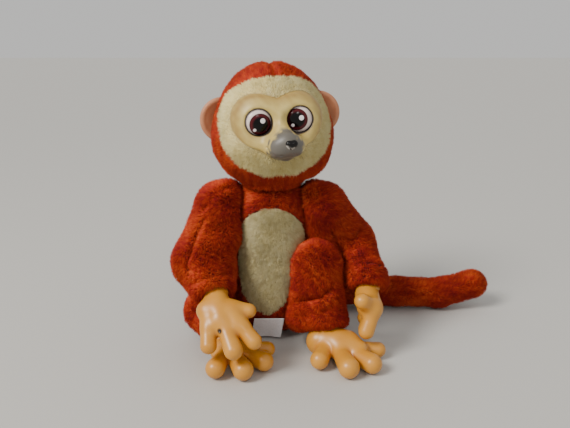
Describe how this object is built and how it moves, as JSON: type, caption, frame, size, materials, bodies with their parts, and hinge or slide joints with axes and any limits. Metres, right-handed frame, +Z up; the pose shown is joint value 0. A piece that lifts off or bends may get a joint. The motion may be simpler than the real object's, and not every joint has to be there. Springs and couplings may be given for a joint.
{
  "type": "stuffed monkey",
  "caption": "Seated stuffed monkey with a moulded face, hands and feet, disc-jointed plush limbs and a long tail.",
  "frame": {"origin": "on the supporting surface under the middle of the seat", "axes": "+Z up; the animal faces -Y; +X is its left side, where the tail lies"},
  "size_m": [0.2693, 0.1536, 0.219],
  "materials": {
    "red_plush": "matte",
    "cream_plush": "matte",
    "polyester_fill": "matte",
    "pellet_bag": "matte",
    "satin_label": "satin",
    "nylon_hardware": "satin",
    "face_vinyl": "satin",
    "black_nose": "gloss",
    "eye_gloss": "gloss",
    "ear_vinyl": "satin",
    "tan_vinyl": "satin"
  },
  "bodies": {
    "torso": {"torso_skin": "red_plush", "belly_panel": "cream_plush", "torso_stuffing": "polyester_fill", "pellet_bag": "pellet_bag", "care_label": "satin_label", "neck_washer": "nylon_hardware", "shoulder_washer_left": "nylon_hardware", "shoulder_washer_right": "nylon_hardware", "hip_washer_left": "nylon_hardware", "hip_washer_right": "nylon_hardware"},
    "head": {"head_hood": "red_plush", "face_ruff": "cream_plush", "head_stuffing": "polyester_fill", "face_mask": "face_vinyl", "nose_button": "black_nose", "eye_left": "eye_gloss", "eye_right": "eye_gloss", "eye_washer_left": "nylon_hardware", "eye_washer_right": "nylon_hardware", "ear_left": "ear_vinyl", "ear_right": "ear_vinyl", "neck_disc": "nylon_hardware", "neck_lock": "nylon_hardware"},
    "upper_arm_left": {"upper_arm_left": "red_plush", "shoulder_disc_left": "nylon_hardware", "shoulder_lock_left": "nylon_hardware"},
    "forearm_left": {"forearm_left": "red_plush", "wrist_tie_left": "nylon_hardware"},
    "hand_left": {"hand_left": "tan_vinyl"},
    "upper_arm_right": {"upper_arm_right": "red_plush", "shoulder_disc_right": "nylon_hardware", "shoulder_lock_right": "nylon_hardware"},
    "forearm_right": {"forearm_right": "red_plush", "wrist_tie_right": "nylon_hardware"},
    "hand_right": {"hand_right": "tan_vinyl"},
    "thigh_left": {"thigh_left": "red_plush", "hip_disc_left": "nylon_hardware", "hip_lock_left": "nylon_hardware"},
    "shin_left": {"shin_left": "red_plush", "ankle_tie_left": "nylon_hardware"},
    "foot_left": {"foot_left": "tan_vinyl"},
    "thigh_right": {"thigh_right": "red_plush", "hip_disc_right": "nylon_hardware", "hip_lock_right": "nylon_hardware"},
    "shin_right": {"shin_right": "red_plush", "ankle_tie_right": "nylon_hardware"},
    "foot_right": {"foot_right": "tan_vinyl"},
    "tail_base": {"tail_base": "red_plush"},
    "tail_tip": {"tail_tip": "red_plush"}
  },
  "joints": [
    {"name": "neck_turn", "type": "hinge", "parent": "torso", "child": "head", "pos_m": [0, 0, 0.124], "axis": [0, 0, 1], "range_deg": [-70, 60]},
    {"name": "shoulder_left", "type": "hinge", "parent": "torso", "child": "upper_arm_left", "pos_m": [0.041, -0.004, 0.105], "axis": [-1, 0, 0], "range_deg": [0, 90]},
    {"name": "elbow_left", "type": "hinge", "parent": "upper_arm_left", "child": "forearm_left", "pos_m": [0.067, 0.006, 0.074], "axis": [1, 0, 0], "range_deg": [-30, 0]},
    {"name": "wrist_left", "type": "hinge", "parent": "forearm_left", "child": "hand_left", "pos_m": [0.0755, -0.033, 0.05], "axis": [-0.0501, -0.6215, -0.7818], "range_deg": [-20, 20]},
    {"name": "shoulder_right", "type": "hinge", "parent": "torso", "child": "upper_arm_right", "pos_m": [-0.041, -0.004, 0.105], "axis": [-1, 0, 0], "range_deg": [0, 90]},
    {"name": "elbow_right", "type": "hinge", "parent": "upper_arm_right", "child": "forearm_right", "pos_m": [-0.057, -0.025, 0.067], "axis": [0.6134, 0.553, -0.5639], "range_deg": [-30, 0]},
    {"name": "wrist_right", "type": "hinge", "parent": "forearm_right", "child": "hand_right", "pos_m": [-0.041, -0.056, 0.054], "axis": [0.3011, -0.7226, -0.6222], "range_deg": [-20, 20]},
    {"name": "hip_left", "type": "hinge", "parent": "torso", "child": "thigh_left", "pos_m": [0.036, 0, 0.028], "axis": [1, 0, 0], "range_deg": [0, 60]},
    {"name": "knee_left", "type": "hinge", "parent": "thigh_left", "child": "shin_left", "pos_m": [0.033, -0.023, 0.0635], "axis": [-0.9776, -0.1291, -0.1662], "range_deg": [0, 40]},
    {"name": "ankle_left", "type": "hinge", "parent": "shin_left", "child": "foot_left", "pos_m": [0.043, -0.044, 0.021], "axis": [0.1002, -0.4208, -0.9016], "range_deg": [-15, 15]},
    {"name": "hip_right", "type": "hinge", "parent": "torso", "child": "thigh_right", "pos_m": [-0.036, 0, 0.028], "axis": [1, 0, 0], "range_deg": [0, 60]},
    {"name": "knee_right", "type": "hinge", "parent": "thigh_right", "child": "shin_right", "pos_m": [-0.052, -0.021, 0.024], "axis": [0.0585, 0.1436, -0.9879], "range_deg": [0, 45]},
    {"name": "ankle_right", "type": "hinge", "parent": "shin_right", "child": "foot_right", "pos_m": [-0.035, -0.052, 0.0205], "axis": [0.3498, -0.5997, -0.7197], "range_deg": [-15, 15]},
    {"name": "tail_swing", "type": "hinge", "parent": "torso", "child": "tail_base", "pos_m": [0.009, 0.043, 0.015], "axis": [-0.0029, 0.0499, 0.9987], "range_deg": [0, 80]},
    {"name": "tail_curl", "type": "hinge", "parent": "tail_base", "child": "tail_tip", "pos_m": [0.112, 0.039, 0.0155], "axis": [-0.0379, -0.9299, 0.3659], "range_deg": [0, 60]}
  ]
}
